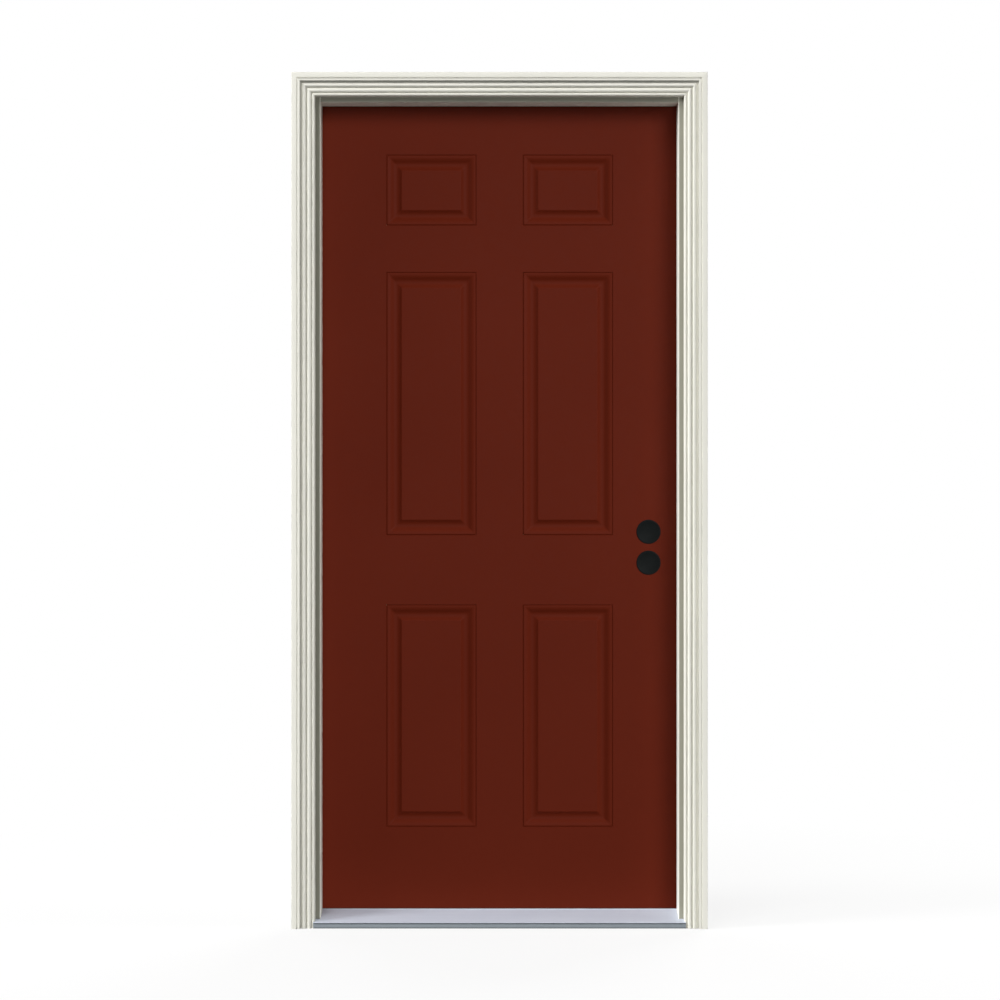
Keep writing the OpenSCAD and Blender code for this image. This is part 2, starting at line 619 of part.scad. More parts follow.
module hinge_pin() {
  translate([0, 0, -hinge_h / 2 - 3]) cylinder(r = pin_r, h = hinge_h + 3 + 0.2);
  translate([0, 0, hinge_h / 2 + 0.2]) cylinder(r = 5.6, h = 2.2);
  translate([0, 0, hinge_h / 2 + 2.4]) cylinder(r1 = 5.6, r2 = 3.4, h = 1.8);
  translate([0, 0, -hinge_h / 2 - 3]) cylinder(r1 = 3, r2 = 5.2, h = 1.4);
  translate([0, 0, -hinge_h / 2 - 1.6]) cylinder(r = 5.2, h = 1.3);
}

module frame_leaf_at(z) color(nickel) translate([0, 0, z]) leaf(-1);
module door_leaf_at(z) color(nickel) translate([0, 0, z]) leaf(1);
module hinge_pin_at(z) color(nickel) translate([axis_x, axis_y, z]) union() hinge_pin();

module frame_hinge_screws() color(nickel) for (z = hinge_z) for (p = screw_spots)
  translate([-rab_x, leaf_far + p[0], z + p[1]]) rotate([0, -90, 0]) wood_screw(frame_screw_l);
module door_hinge_screws() color(nickel) for (z = hinge_z) for (p = screw_spots)
  translate([-slab_x, leaf_far + p[0], z + p[1]]) rotate([0, 90, 0]) wood_screw(door_screw_l);

// ---------- nodes ----------

hinge_jamb();
strike_jamb();
head_jamb();
brickmould_left();
brickmould_right();
brickmould_head();
brickmould_nails();
sill_base();
sill_deck();
sill_joint_screws();
head_joint_screws();
weatherstrip_hinge_side();
weatherstrip_latch_side();
weatherstrip_head();
corner_pads();
frame_leaf_at(hinge_z[0]);  // frame_leaf_top
frame_leaf_at(hinge_z[1]);  // frame_leaf_middle
frame_leaf_at(hinge_z[2]);  // frame_leaf_bottom
hinge_pin_at(hinge_z[0]);  // hinge_pin_top
hinge_pin_at(hinge_z[1]);  // hinge_pin_middle
hinge_pin_at(hinge_z[2]);  // hinge_pin_bottom
frame_hinge_screws();
threshold_cap();
threshold_screws();
outer_skin();
inner_skin();
hinge_stile();
lock_stile();
top_rail();
bottom_rail();
lock_block();
foam_core();
door_sweep();
door_leaf_at(hinge_z[0]);  // door_leaf_top
door_leaf_at(hinge_z[1]);  // door_leaf_middle
door_leaf_at(hinge_z[2]);  // door_leaf_bottom
door_hinge_screws();
bore_cover_upper();
bore_cover_lower();
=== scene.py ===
import json
import math

import bpy
import numpy as np
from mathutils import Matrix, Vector
from mathutils.geometry import delaunay_2d_cdt

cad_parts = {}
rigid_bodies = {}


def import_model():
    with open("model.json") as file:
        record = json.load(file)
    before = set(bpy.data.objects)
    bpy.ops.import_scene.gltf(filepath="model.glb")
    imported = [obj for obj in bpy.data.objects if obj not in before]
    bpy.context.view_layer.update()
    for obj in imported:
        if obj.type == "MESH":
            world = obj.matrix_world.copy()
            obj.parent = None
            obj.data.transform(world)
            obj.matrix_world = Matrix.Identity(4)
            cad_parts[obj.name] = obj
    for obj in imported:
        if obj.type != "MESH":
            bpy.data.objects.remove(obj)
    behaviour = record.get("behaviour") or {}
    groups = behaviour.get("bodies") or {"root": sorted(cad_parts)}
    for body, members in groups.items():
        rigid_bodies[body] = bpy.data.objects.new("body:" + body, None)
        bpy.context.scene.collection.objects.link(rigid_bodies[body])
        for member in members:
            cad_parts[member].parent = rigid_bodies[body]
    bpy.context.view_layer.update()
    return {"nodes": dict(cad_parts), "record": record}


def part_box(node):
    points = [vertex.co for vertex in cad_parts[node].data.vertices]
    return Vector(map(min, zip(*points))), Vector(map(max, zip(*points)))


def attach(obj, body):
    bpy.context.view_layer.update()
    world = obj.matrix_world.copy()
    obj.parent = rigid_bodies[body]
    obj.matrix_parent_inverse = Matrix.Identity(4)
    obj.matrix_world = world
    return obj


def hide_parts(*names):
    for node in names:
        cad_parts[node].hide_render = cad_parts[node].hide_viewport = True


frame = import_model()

nodes = frame["nodes"]
record = frame["record"]
scene = bpy.context.scene


def srgb(r, g, b):
    """An sRGB colour in 0..255 as linear RGBA."""
    out = []
    for c in (r, g, b):
        c /= 255.0
        out.append(c / 12.92 if c <= 0.04045 else ((c + 0.055) / 1.055) ** 2.4)
    return (*out, 1.0)


# ------------------------------------------------------------------ camera

cam_data = bpy.data.cameras.new("camera")
cam = bpy.data.objects.new("camera", cam_data)
scene.collection.objects.link(cam)
scene.camera = cam
cam.location = (0.0, -5.8988, 1.0602)
cam.rotation_euler = (math.radians(90), 0, 0)
cam_data.lens = 85.5
cam_data.sensor_width = 36.0
cam_data.shift_x = 0.0005
cam_data.clip_start = 0.05
cam_data.clip_end = 200.0

# ------------------------------------------------------------------ node helpers


class Mat:
    """A Principled material and short ways to add nodes to it."""

    def __init__(self, name, colour, rough=0.5, metallic=0.0, spec=0.5):
        self.m = bpy.data.materials.new(name)
        self.m.use_nodes = True
        self.nt = self.m.node_tree
        self.b = self.nt.nodes["Principled BSDF"]
        self.set(base=colour, rough=rough, metallic=metallic, spec=spec)

    def set(self, base=None, rough=None, metallic=None, spec=None):
        s = self.b.inputs
        if base is not None:
            s["Base Color"].default_value = base
        if rough is not None:
            s["Roughness"].default_value = rough
        if metallic is not None:
            s["Metallic"].default_value = metallic
        if spec is not None:
            s["Specular IOR Level"].default_value = spec

    def new(self, kind, **values):
        n = self.nt.nodes.new(kind)
        for k, v in values.items():
            if hasattr(n, k):
                setattr(n, k, v)
            else:
                n.inputs[k].default_value = v
        return n

    def link(self, a, b):
        self.nt.links.new(a, b)

    def coords(self, scale=(1, 1, 1), rotation=(0, 0, 0)):
        if not hasattr(self, "tc"):
            self.tc = self.new("ShaderNodeTexCoord")
        mp = self.new("ShaderNodeMapping")
        mp.inputs["Scale"].default_value = scale
        mp.inputs["Rotation"].default_value = rotation
        self.link(self.tc.outputs["Object"], mp.inputs["Vector"])
        return mp.outputs["Vector"]

    def noise(self, vec, scale=1.0, detail=3.0, rough=0.5, distort=0.0):
        n = self.new("ShaderNodeTexNoise")
        n.inputs["Scale"].default_value = scale
        n.inputs["Detail"].default_value = detail
        n.inputs["Roughness"].default_value = rough
        n.inputs["Distortion"].default_value = distort
        self.link(vec, n.inputs["Vector"])
        return n.outputs["Fac"]

    def ramp(self, fac, stops):
        r = self.new("ShaderNodeValToRGB")
        e = r.color_ramp.elements
        while len(e) < len(stops):
            e.new(0.5)
        for el, (p, c) in zip(e, stops):
            el.position = p
            el.color = c if len(c) == 4 else (*c, 1.0)
        self.link(fac, r.inputs["Fac"])
        return r.outputs["Color"]

    def value(self, fac, lo, hi, a, b):
        r = self.new("ShaderNodeMapRange")
        for k, v in (("From Min", lo), ("From Max", hi), ("To Min", a), ("To Max", b)):
            r.inputs[k].default_value = v
        self.link(fac, r.inputs["Value"])
        return r.outputs["Result"]

    def mix(self, fac, a, b, mode="MIX"):
        n = self.new("ShaderNodeMix")
        n.data_type = "RGBA"
        n.blend_type = mode
        for sock, v in ((n.inputs[0], fac), (n.inputs[6], a), (n.inputs[7], b)):
            if isinstance(v, (int, float)):
                sock.default_value = v
            elif isinstance(v, tuple):
                sock.default_value = v
            else:
                self.link(v, sock)
        return n.outputs[2]

    def bump(self, height, distance, strength=1.0, after=None):
        b = self.new("ShaderNodeBump")
        b.inputs["Distance"].default_value = distance
        b.inputs["Strength"].default_value = strength
        self.link(height, b.inputs["Height"])
        if after is not None:
            self.link(after, b.inputs["Normal"])
        return b.outputs["Normal"]

    def bevel(self, radius):
        b = self.new("ShaderNodeBevel")
        b.samples = 6
        b.inputs["Radius"].default_value = radius
        return b.outputs["Normal"]

    def to(self, out, socket):
        self.link(out, self.b.inputs[socket])


# ------------------------------------------------------------------ materials

# satin paint on pressed steel, rolled and sprayed: a faint orange peel, hardly any texture
SLAB = srgb(91, 33, 21)


def paint_steel(name):
    m = Mat(name, SLAB, rough=0.55, spec=0.035)
    v = m.coords((1, 1, 1))
    big = m.noise(v, 2.3, 2.0, 0.5)
    small = m.noise(v, 65.0, 3.0, 0.55)
    c = m.mix(m.value(big, 0.3, 0.7, 0.0, 1.0), (0.1055, 0.0124, 0.0044, 1), (0.1125, 0.0136, 0.0050, 1))
    c = m.mix(m.value(small, 0.35, 0.65, 0.0, 0.10), c, (0.122, 0.0165, 0.0068, 1))
    m.to(c, "Base Color")
    m.to(m.value(small, 0.3, 0.7, 0.46, 0.56), "Roughness")
    peel = m.noise(v, 520.0, 2.0, 0.6)
    m.to(m.bump(peel, 0.00012, 0.35), "Normal")
    return m.m


# cream trim paint brushed along the length of each moulding
def paint_trim(name, colour, grain, groove_shade, across, rough=0.42):
    m = Mat(name, colour, rough=rough, spec=0.2)
    v = m.coords((1, 1, 1))
    s = m.coords(grain)
    brush = m.noise(s, 1.0, 4.0, 0.6)
    big = m.noise(v, 3.1, 3.0, 0.5)
    lo = tuple(c * 0.955 for c in colour[:3]) + (1,)
    hi = tuple(min(1.0, c * 1.012) for c in colour[:3]) + (1,)
    c = m.mix(m.value(big, 0.3, 0.7, 0.0, 1.0), lo, hi)
    c = m.mix(m.value(brush, 0.35, 0.75, 0.0, 0.2), c, hi)
    # painted shade: the bottoms of the grooves are coloured darker, on the face only
    sep = m.new("ShaderNodeSeparateXYZ")
    m.link(m.tc.outputs["Object"], sep.inputs[0])
    run = sep.outputs["Z"]
    if across == "X":
        side = m.new("ShaderNodeMath")
        side.operation = "ABSOLUTE"
        m.link(sep.outputs["X"], side.inputs[0])
        run = side.outputs[0]
    face = m.value(sep.outputs["Y"], -0.014, -0.010, 1.0, 0.0)
    outer = 0.51435 if across == "X" else 2.11785
    for a0, a1, depth in groove_shade:
        lo_e, hi_e = outer - a1 / 1000, outer - a0 / 1000
        inside = m.new("ShaderNodeMath")
        inside.operation = "MULTIPLY"
        m.link(m.value(run, lo_e - 0.0003, lo_e + 0.0003, 0.0, depth), inside.inputs[0])
        m.link(m.value(run, hi_e - 0.0003, hi_e + 0.0003, 1.0, 0.0), inside.inputs[1])
        shade_here = m.new("ShaderNodeMath")
        shade_here.operation = "MULTIPLY"
        m.link(inside.outputs[0], shade_here.inputs[0])
        m.link(face, shade_here.inputs[1])
        # the dark colour mixed in here is painted shade in the groove
        c = m.mix(shade_here.outputs[0], c, (0.10, 0.095, 0.08, 1))
    m.to(c, "Base Color")
    m.to(m.value(brush, 0.3, 0.7, rough - 0.03, rough + 0.05), "Roughness")
    fine = m.noise(v, 420.0, 2.0, 0.5)
    n = m.bump(brush, 0.00007, 0.3)
    m.to(m.bump(fine, 0.00008, 0.3, n), "Normal")
    return m.m


# jambs: cream paint on the stops and rabbets, and a darker colour on the front edge where the reveal faces out, painted
# shade for the recess behind the brickmould
def paint_jamb(name, grain, cream, edge, lip=None):
    m = Mat(name, cream, rough=0.55, spec=0.12)
    v = m.coords((1, 1, 1))
    s = m.coords(grain)
    brush = m.noise(s, 1.0, 4.0, 0.6)
    big = m.noise(v, 3.7, 3.0, 0.5)
    sep = m.new("ShaderNodeSeparateXYZ")
    m.link(m.tc.outputs["Object"], sep.inputs[0])
    # mask for the painted shade on the jamb's front edge
    shaded_front = m.value(sep.outputs["Y"], 0.0006, 0.0014, 1.0, 0.0)
    side = m.new("ShaderNodeMath")
    side.operation = "ABSOLUTE"
    m.link(sep.outputs["X"], side.inputs[0])
    if lip:
        # the stop's cream is carried round onto its front corner, with no painted shade there
        keep = m.new("ShaderNodeMath")
        keep.operation = "MULTIPLY"
        m.link(shaded_front, keep.inputs[0])
        m.link(m.value(side.outputs[0], lip - 0.0002, lip + 0.0002, 0.0, 1.0), keep.inputs[1])
        shaded_front = keep.outputs[0]
    c1 = m.mix(m.value(big, 0.3, 0.7, 0.0, 1.0), tuple(c * 0.95 for c in cream[:3]) + (1,), cream)
    c1 = m.mix(m.value(brush, 0.4, 0.75, 0.0, 0.3), c1, tuple(min(1, c * 1.03) for c in cream[:3]) + (1,))
    c2 = m.mix(m.value(brush, 0.3, 0.7, 0.0, 1.0), tuple(c * 0.93 for c in edge[:3]) + (1,), edge)
    # the backs, which go against the wall's studs, have one thin coat of dull primer
    hid = m.new("ShaderNodeMath")
    hid.operation = "MAXIMUM"
    m.link(m.value(side.outputs[0], 0.4757, 0.4761, 0.0, 1.0), hid.inputs[0])
    m.link(m.value(sep.outputs["Z"], 2.0792, 2.0796, 0.0, 1.0), hid.inputs[1])
    patch = m.noise(v, 9.0, 4.0, 0.6)
    c3 = m.mix(m.value(brush, 0.3, 0.7, 0.0, 1.0), (0.50, 0.485, 0.415, 1), (0.60, 0.585, 0.51, 1))
    c3 = m.mix(m.value(patch, 0.45, 0.7, 0.0, 0.35), c3, (0.52, 0.47, 0.36, 1))
    m.to(m.mix(hid.outputs[0], m.mix(shaded_front, c1, c2), c3), "Base Color")
    m.to(m.value(brush, 0.3, 0.7, 0.44, 0.56), "Roughness")
    n = m.bump(brush, 0.00025, 0.4, m.bevel(0.0008))
    m.to(m.bump(m.noise(v, 380.0, 2.0, 0.5), 0.00008, 0.3, n), "Normal")
    return m.m


# bare softwood, grain along one axis: 0 X, 2 Z
def pine(name, axis):
    m = Mat(name, (0.56, 0.36, 0.18, 1), rough=0.68, spec=0.3)
    sc = [26.0, 26.0, 26.0]
    sc[axis] = 0.9
    v = m.coords(tuple(sc))
    warp = m.noise(v, 0.55, 3.0, 0.5, 0.6)
    w = m.new("ShaderNodeTexWave")
    w.wave_type = "RINGS"
    w.rings_direction = "Z" if axis == 2 else "X"
    w.inputs["Scale"].default_value = 2.4
    w.inputs["Distortion"].default_value = 3.2
    w.inputs["Detail"].default_value = 3.0
    w.inputs["Detail Scale"].default_value = 0.9
    m.link(v, w.inputs["Vector"])
    sf = [900.0, 900.0, 900.0]
    sf[axis] = 14.0
    fibre = m.noise(m.coords(tuple(sf)), 1.0, 3.0, 0.6)
    c = m.ramp(w.outputs["Fac"], [(0.0, (0.60, 0.40, 0.21)), (0.55, (0.52, 0.32, 0.15)), (0.85, (0.36, 0.19, 0.08)), (1.0, (0.55, 0.35, 0.17))])
    c = m.mix(m.value(warp, 0.3, 0.7, 0.0, 0.35), c, (0.64, 0.46, 0.27, 1))
    c = m.mix(m.value(fibre, 0.35, 0.7, 0.0, 0.4), c, (0.42, 0.25, 0.12, 1), "MULTIPLY")
    m.to(c, "Base Color")
    m.to(m.value(fibre, 0.3, 0.7, 0.6, 0.78), "Roughness")
    m.to(m.bump(fibre, 0.0002, 0.5), "Normal")
    return m.m


# mill-finish extrusion: die lines along X, a few faint scuffs across them
def extrusion(name):
    m = Mat(name, (0.50, 0.54, 0.62, 1), rough=0.5, metallic=0.28, spec=0.4)
    lines = m.noise(m.coords((1.2, 1500.0, 1500.0)), 1.0, 3.0, 0.6)
    broad = m.noise(m.coords((2.0, 160.0, 160.0)), 1.0, 2.0, 0.5)
    cloud = m.noise(m.coords((1, 1, 1)), 9.0, 4.0, 0.6)
    c = m.mix(m.value(lines, 0.3, 0.7, 0.0, 1.0), (0.595, 0.646, 0.749, 1), (0.672, 0.723, 0.826, 1))
    c = m.mix(m.value(broad, 0.35, 0.7, 0.0, 0.3), c, (0.563, 0.614, 0.710, 1))
    c = m.mix(m.value(cloud, 0.45, 0.75, 0.0, 0.2), c, (0.742, 0.781, 0.858, 1))
    # the fascia under the nosing is coloured dark as painted shade, with a band of painted shadow under the lip and
    # painted shade at its foot
    sep = m.new("ShaderNodeSeparateXYZ")
    m.link(m.tc.outputs["Object"], sep.inputs[0])
    low = m.value(sep.outputs["Z"], 0.0132, 0.0142, 1.0, 0.0)
    fascia_shade = m.mix(0.78, c, (0.12, 0.145, 0.15, 1))
    # painted shadow in a band under the nosing's lip, and painted shade along the foot
    lip_shadow = m.value(sep.outputs["Z"], 0.0098, 0.0122, 0.0, 0.45)
    foot_shade = m.value(sep.outputs["Z"], 0.0026, 0.0046, 0.4, 0.0)
    fascia_shade = m.mix(lip_shadow, fascia_shade, (0.075, 0.09, 0.095, 1))
    fascia_shade = m.mix(foot_shade, fascia_shade, (0.075, 0.09, 0.095, 1))
    m.to(m.mix(low, c, fascia_shade), "Base Color")
    m.to(m.value(lines, 0.3, 0.7, 0.42, 0.58), "Roughness")
    m.to(m.bump(lines, 0.00008, 0.5, m.bevel(0.0004)), "Normal")
    return m.m


# satin nickel plate with a vertical brush
def nickel(name):
    m = Mat(name, (0.58, 0.555, 0.51, 1), rough=0.34, metallic=1.0)
    brush = m.noise(m.coords((2600.0, 2600.0, 40.0)), 1.0, 3.0, 0.6)
    cloud = m.noise(m.coords((1, 1, 1)), 60.0, 3.0, 0.6)
    c = m.mix(m.value(brush, 0.3, 0.7, 0.0, 1.0), (0.52, 0.495, 0.45, 1), (0.64, 0.615, 0.57, 1))
    c = m.mix(m.value(cloud, 0.5, 0.75, 0.0, 0.3), c, (0.46, 0.43, 0.39, 1))
    m.to(c, "Base Color")
    m.to(m.value(brush, 0.3, 0.7, 0.28, 0.42), "Roughness")
    m.to(m.bump(brush, 0.00005, 0.4, m.bevel(0.0003)), "Normal")
    return m.m


def zinc(name):
    m = Mat(name, (0.52, 0.52, 0.50, 1), rough=0.42, metallic=1.0)
    sp = m.noise(m.coords((1, 1, 1)), 900.0, 3.0, 0.6)
    m.to(m.mix(m.value(sp, 0.35, 0.65, 0.0, 1.0), (0.44, 0.45, 0.44, 1), (0.60, 0.59, 0.54, 1)), "Base Color")
    m.to(m.value(sp, 0.3, 0.7, 0.36, 0.5), "Roughness")
    m.to(m.bump(sp, 0.00004, 0.4), "Normal")
    return m.m


# film-faced foam strip: soft skin with fine creases along its length
def foam_strip(name, grain):
    m = Mat(name, (0.80, 0.78, 0.70, 1), rough=0.62, spec=0.35)
    crease = m.noise(m.coords(grain), 1.0, 4.0, 0.65)
    skin = m.noise(m.coords((1, 1, 1)), 700.0, 2.0, 0.5)
    m.to(m.mix(m.value(crease, 0.3, 0.7, 0.0, 1.0), (0.72, 0.70, 0.62, 1), (0.83, 0.81, 0.74, 1)), "Base Color")
    m.to(m.value(skin, 0.3, 0.7, 0.55, 0.7), "Roughness")
    n = m.bump(crease, 0.0003, 0.4)
    m.to(m.bump(skin, 0.00006, 0.4, n), "Normal")
    return m.m


# moulded or extruded plastic with a fine spark-eroded texture
def plastic(name, lo, hi, rough, size=900.0, depth=0.00005, spec=0.4, lines=None):
    m = Mat(name, hi, rough=rough, spec=spec)
    v = m.coords((1, 1, 1))
    tex = m.noise(v, size, 2.0, 0.5)
    cloud = m.noise(v, 35.0, 3.0, 0.55)
    m.to(m.mix(m.value(cloud, 0.3, 0.7, 0.0, 1.0), lo, hi), "Base Color")
    m.to(m.value(tex, 0.3, 0.7, rough - 0.06, rough + 0.08), "Roughness")
    n = m.bevel(0.0004)
    if lines:
        n = m.bump(m.noise(m.coords(lines), 1.0, 3.0, 0.6), 0.00008, 0.4, n)
    m.to(m.bump(tex, depth, 0.5, n), "Normal")
    return m.m


# cut rigid foam: open cells
def cut_foam(name):
    m = Mat(name, (0.80, 0.70, 0.42, 1), rough=0.9, spec=0.1)
    v = m.coords((1, 1, 1))
    cell = m.new("ShaderNodeTexVoronoi")
    cell.inputs["Scale"].default_value = 900.0
    m.link(v, cell.inputs["Vector"])
    cloud = m.noise(v, 20.0, 3.0, 0.6)
    c = m.mix(m.value(cloud, 0.3, 0.7, 0.0, 1.0), (0.74, 0.63, 0.36, 1), (0.84, 0.75, 0.48, 1))
    m.to(m.mix(m.value(cell.outputs["Distance"], 0.0, 0.6, 0.35, 0.0), c, (0.5, 0.4, 0.2, 1)), "Base Color")
    m.to(m.bump(cell.outputs["Distance"], 0.0004, 0.6), "Normal")
    return m.m


CREAM = (0.855, 0.845, 0.765, 1)
# the darker colour below is painted shade for the jambs' recessed front edges
RECESS_SHADE = (0.30, 0.297, 0.243, 1)
steel_paint = paint_steel("door_paint")
# painted shade in the grooves: from, to, measured in mm from the brickmould's outer edge, and how dark
GROOVE_SHADE_SIDE = [(19.8, 24.4, 0.2), (32.5, 37.0, 0.1)]
GROOVE_SHADE_HEAD = [(14.9, 17.4, 0.42), (20.6, 23.3, 0.5), (23.3, 25.6, 0.25), (32.6, 35.2, 0.27), (35.2, 37.6, 0.16)]
trim_z = paint_trim("trim_paint_upright", CREAM, (700.0, 700.0, 9.0), GROOVE_SHADE_SIDE, "X")
trim_x = paint_trim("trim_paint_head", CREAM, (9.0, 700.0, 700.0), GROOVE_SHADE_HEAD, "Z")
jamb_z = paint_jamb("jamb_paint_upright", (600.0, 600.0, 8.0), CREAM, RECESS_SHADE, lip=0.4464)
jamb_x = paint_jamb("jamb_paint_head", (8.0, 600.0, 600.0), CREAM, RECESS_SHADE)
pine_x = pine("pine_across", 0)
pine_z = pine("pine_upright", 2)
alu = extrusion("sill_extrusion")
nickel_m = nickel("hinge_nickel")
zinc_m = zinc("zinc_steel")
strip_z = foam_strip("strip_foam_upright", (500.0, 500.0, 25.0))
strip_x = foam_strip("strip_foam_head", (25.0, 500.0, 500.0))
pad_m = plastic("pad_pile", (0.028, 0.028, 0.03, 1), (0.05, 0.05, 0.052, 1), 0.85, 1400.0, 0.0004)
cap_m = plastic("cap_vinyl", (0.52, 0.48, 0.40, 1), (0.60, 0.56, 0.48, 1), 0.45, 800.0, 0.00004, lines=(6.0, 900.0, 900.0))
sweep_m = plastic("sweep_vinyl", (0.045, 0.018, 0.012, 1), (0.065, 0.026, 0.018, 1), 0.55, 800.0, 0.00004, lines=(6.0, 900.0, 900.0))
cover_m = plastic("cover_plastic", (0.0062, 0.0075, 0.0076, 1), (0.0085, 0.0100, 0.0101, 1), 0.55, 1100.0, 0.00005, spec=0.05)
foam_m = cut_foam("core_foam")

NODE_MAT = {
    "hinge_jamb": jamb_z, "strike_jamb": jamb_z, "head_jamb": jamb_x,
    "brickmould_left": trim_z, "brickmould_right": trim_z, "brickmould_head": trim_x, "brickmould_nails": zinc_m,
    "sill_base": pine_x, "sill_deck": alu, "sill_joint_screws": zinc_m, "head_joint_screws": zinc_m,
    "weatherstrip_hinge_side": strip_z, "weatherstrip_latch_side": strip_z, "weatherstrip_head": strip_x,
    "corner_pads": pad_m, "threshold_cap": cap_m, "threshold_screws": zinc_m,
    "outer_skin": steel_paint, "inner_skin": steel_paint,
    "hinge_stile": pine_z, "lock_stile": pine_z, "top_rail": pine_x, "bottom_rail": pine_x, "lock_block": pine_z,
    "foam_core": foam_m, "door_sweep": sweep_m, "bore_cover_upper": cover_m, "bore_cover_lower": cover_m,
}
for n, o in nodes.items():
    m = NODE_MAT.get(n, nickel_m)
    o.data.materials.clear()
    o.data.materials.append(m)

# ------------------------------------------------------------------ smooth normals on the CAD nodes


def smooth_cad(o, angle=35.0):
    """Shades a CAD node smooth over edges under angle. Its vertices stay as they are; only its normals are set."""
    me = o.data
    nl, npoly = len(me.loops), len(me.polygons)
    co = np.empty(len(me.vertices) * 3)
    me.vertices.foreach_get("co", co)
    co = co.reshape(-1, 3)
    lv = np.empty(nl, int)
    me.loops.foreach_get("vertex_index", lv)
    start = np.empty(npoly, int)
    total = np.empty(npoly, int)
    me.polygons.foreach_get("loop_start", start)
    me.polygons.foreach_get("loop_total", total)
    if not (total == 3).all():
        return
    tri = lv.reshape(-1, 3)
    p = co[tri]
    fn = np.cross(p[:, 1] - p[:, 0], p[:, 2] - p[:, 0])
    area = np.linalg.norm(fn, axis=1)
    good = area > 1e-16
    fn[good] /= area[good, None]
    ang = np.zeros((npoly, 3))
    for k in range(3):
        a = p[:, (k + 1) % 3] - p[:, k]
        b = p[:, (k + 2) % 3] - p[:, k]
        la, lb = np.linalg.norm(a, axis=1), np.linalg.norm(b, axis=1)
        d = (a * b).sum(1) / np.maximum(la * lb, 1e-18)
        ang[:, k] = np.arccos(np.clip(d, -1, 1))
    key = np.round(co[lv] * 1e6).astype(np.int64)
    _, group = np.unique(key, axis=0, return_inverse=True)
    group = group.ravel()
    face = np.repeat(np.arange(npoly), 3)
    w = ang.ravel() * good[face]
    order = np.argsort(group, kind="stable")
    bounds_ = np.flatnonzero(np.diff(group[order])) + 1
    out = fn[face].copy()
    cosmin = math.cos(math.radians(angle))
    for idx in np.split(order, bounds_):
        if len(idx) < 2:
            continue
        nf = fn[face[idx]]
        close = (nf @ nf.T) > cosmin
        s = close @ (nf * w[idx][:, None])
        ln = np.linalg.norm(s, axis=1)
        ok = ln > 1e-9
        out[idx[ok]] = s[ok] / ln[ok, None]
    me.polygons.foreach_set("use_smooth", np.ones(npoly, bool))
    me.normals_split_custom_set([tuple(v) for v in out])


for n, o in nodes.items():
    if n not in ("outer_skin", "inner_skin", "foam_core"):
        smooth_cad(o)

# ------------------------------------------------------------------ pressed skins

S_Y0, S_Y1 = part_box("outer_skin")[0].y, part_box("inner_skin")[1].y
S_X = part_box("outer_skin")[1].x
S_Z0, S_Z1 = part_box("outer_skin")[0].z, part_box("outer_skin")[1].z
SKIN_T = 0.0006
FOLD = 0.009
PANEL_IN, PANEL_OUT = 0.0578, 0.2853
ROWS = [(0.2377, 0.7975), (0.9709, 1.6334), (1.7495, 1.9284)]
BORE_X = S_X - 0.0794
BORE_Z = [0.9026, 0.9803]
BORE_R = 0.027

PROFILE = [  # distance in from the panel's edge, depth below the face, in mm
    (0.0, 0.0), (0.25, 0.15), (0.5, 0.95), (0.9, 1.75), (1.3, 2.0), (1.6, 1.98), (2.1, 1.5), (2.8, 0.75), (3.4, 0.3),
    (4.0, 0.17), (4.8, 0.15), (5.5, 0.19), (8, 0.5), (10, 1.0), (12, 1.75), (14, 2.75), (16, 3.9), (18, 5.1),
    (20, 6.1), (22, 6.8), (24, 7.2), (25.5, 7.3), (27, 7.3), (29, 7.0), (31, 6.45), (33, 5.6), (34.8, 4.6),
    (36.4, 3.5), (37.8, 2.45), (38.9, 1.7), (39.7, 1.35), (40.7, 1.25), (42.0, 1.25),
]


def pchip(xs, ys, q):
    """Monotone cubic through the points, so the curve has no overshoot."""
    x, y = np.array(xs, float), np.array(ys, float)
    h, d = np.diff(x), np.diff(y) / np.diff(x)
    m = np.zeros(len(x))
    for i in range(1, len(x) - 1):
        if d[i - 1] * d[i] > 0:
            w1, w2 = 2 * h[i] + h[i - 1], h[i] + 2 * h[i - 1]
            m[i] = (w1 + w2) / (w1 / d[i - 1] + w2 / d[i])
    m[0], m[-1] = d[0], d[-1]
    k = np.clip(np.searchsorted(x, q) - 1, 0, len(h) - 1)
    t = (q - x[k]) / h[k]
    return (
        y[k] * (1 + 2 * t) * (1 - t) ** 2 + m[k] * h[k] * t * (1 - t) ** 2
        + y[k + 1] * t * t * (3 - 2 * t) + m[k + 1] * h[k] * t * t * (t - 1)
    )


qs = np.concatenate([np.arange(0, 5.2, 0.2), np.arange(5.2, 42.01, 0.8)])
PROF = list(zip(qs / 1000.0, pchip(*zip(*PROFILE), qs) / 1000.0))


def ring(x0, x1, z0, z1, r, n=4, lead=0.0006):
    """A rectangle with rounded corners, counter-clockwise seen from -Y, with a support point either side of each corner."""
    pts = []
    for cx, cz, a0 in ((x1 - r, z0 + r, -90), (x1 - r, z1 - r, 0), (x0 + r, z1 - r, 90), (x0 + r, z0 + r, 180)):
        arc = [(cx + r * math.cos(math.radians(a0 + 90 * i / n)), cz + r * math.sin(math.radians(a0 + 90 * i / n))) for i in range(n + 1)]
        t0 = (math.sin(math.radians(a0)), -math.cos(math.radians(a0)))
        t1 = (math.sin(math.radians(a0 + 90)), -math.cos(math.radians(a0 + 90)))
        pts.append((arc[0][0] + t0[0] * lead, arc[0][1] + t0[1] * lead))
        pts.extend(arc)
        pts.append((arc[-1][0] - t1[0] * lead, arc[-1][1] - t1[1] * lead))
    return pts


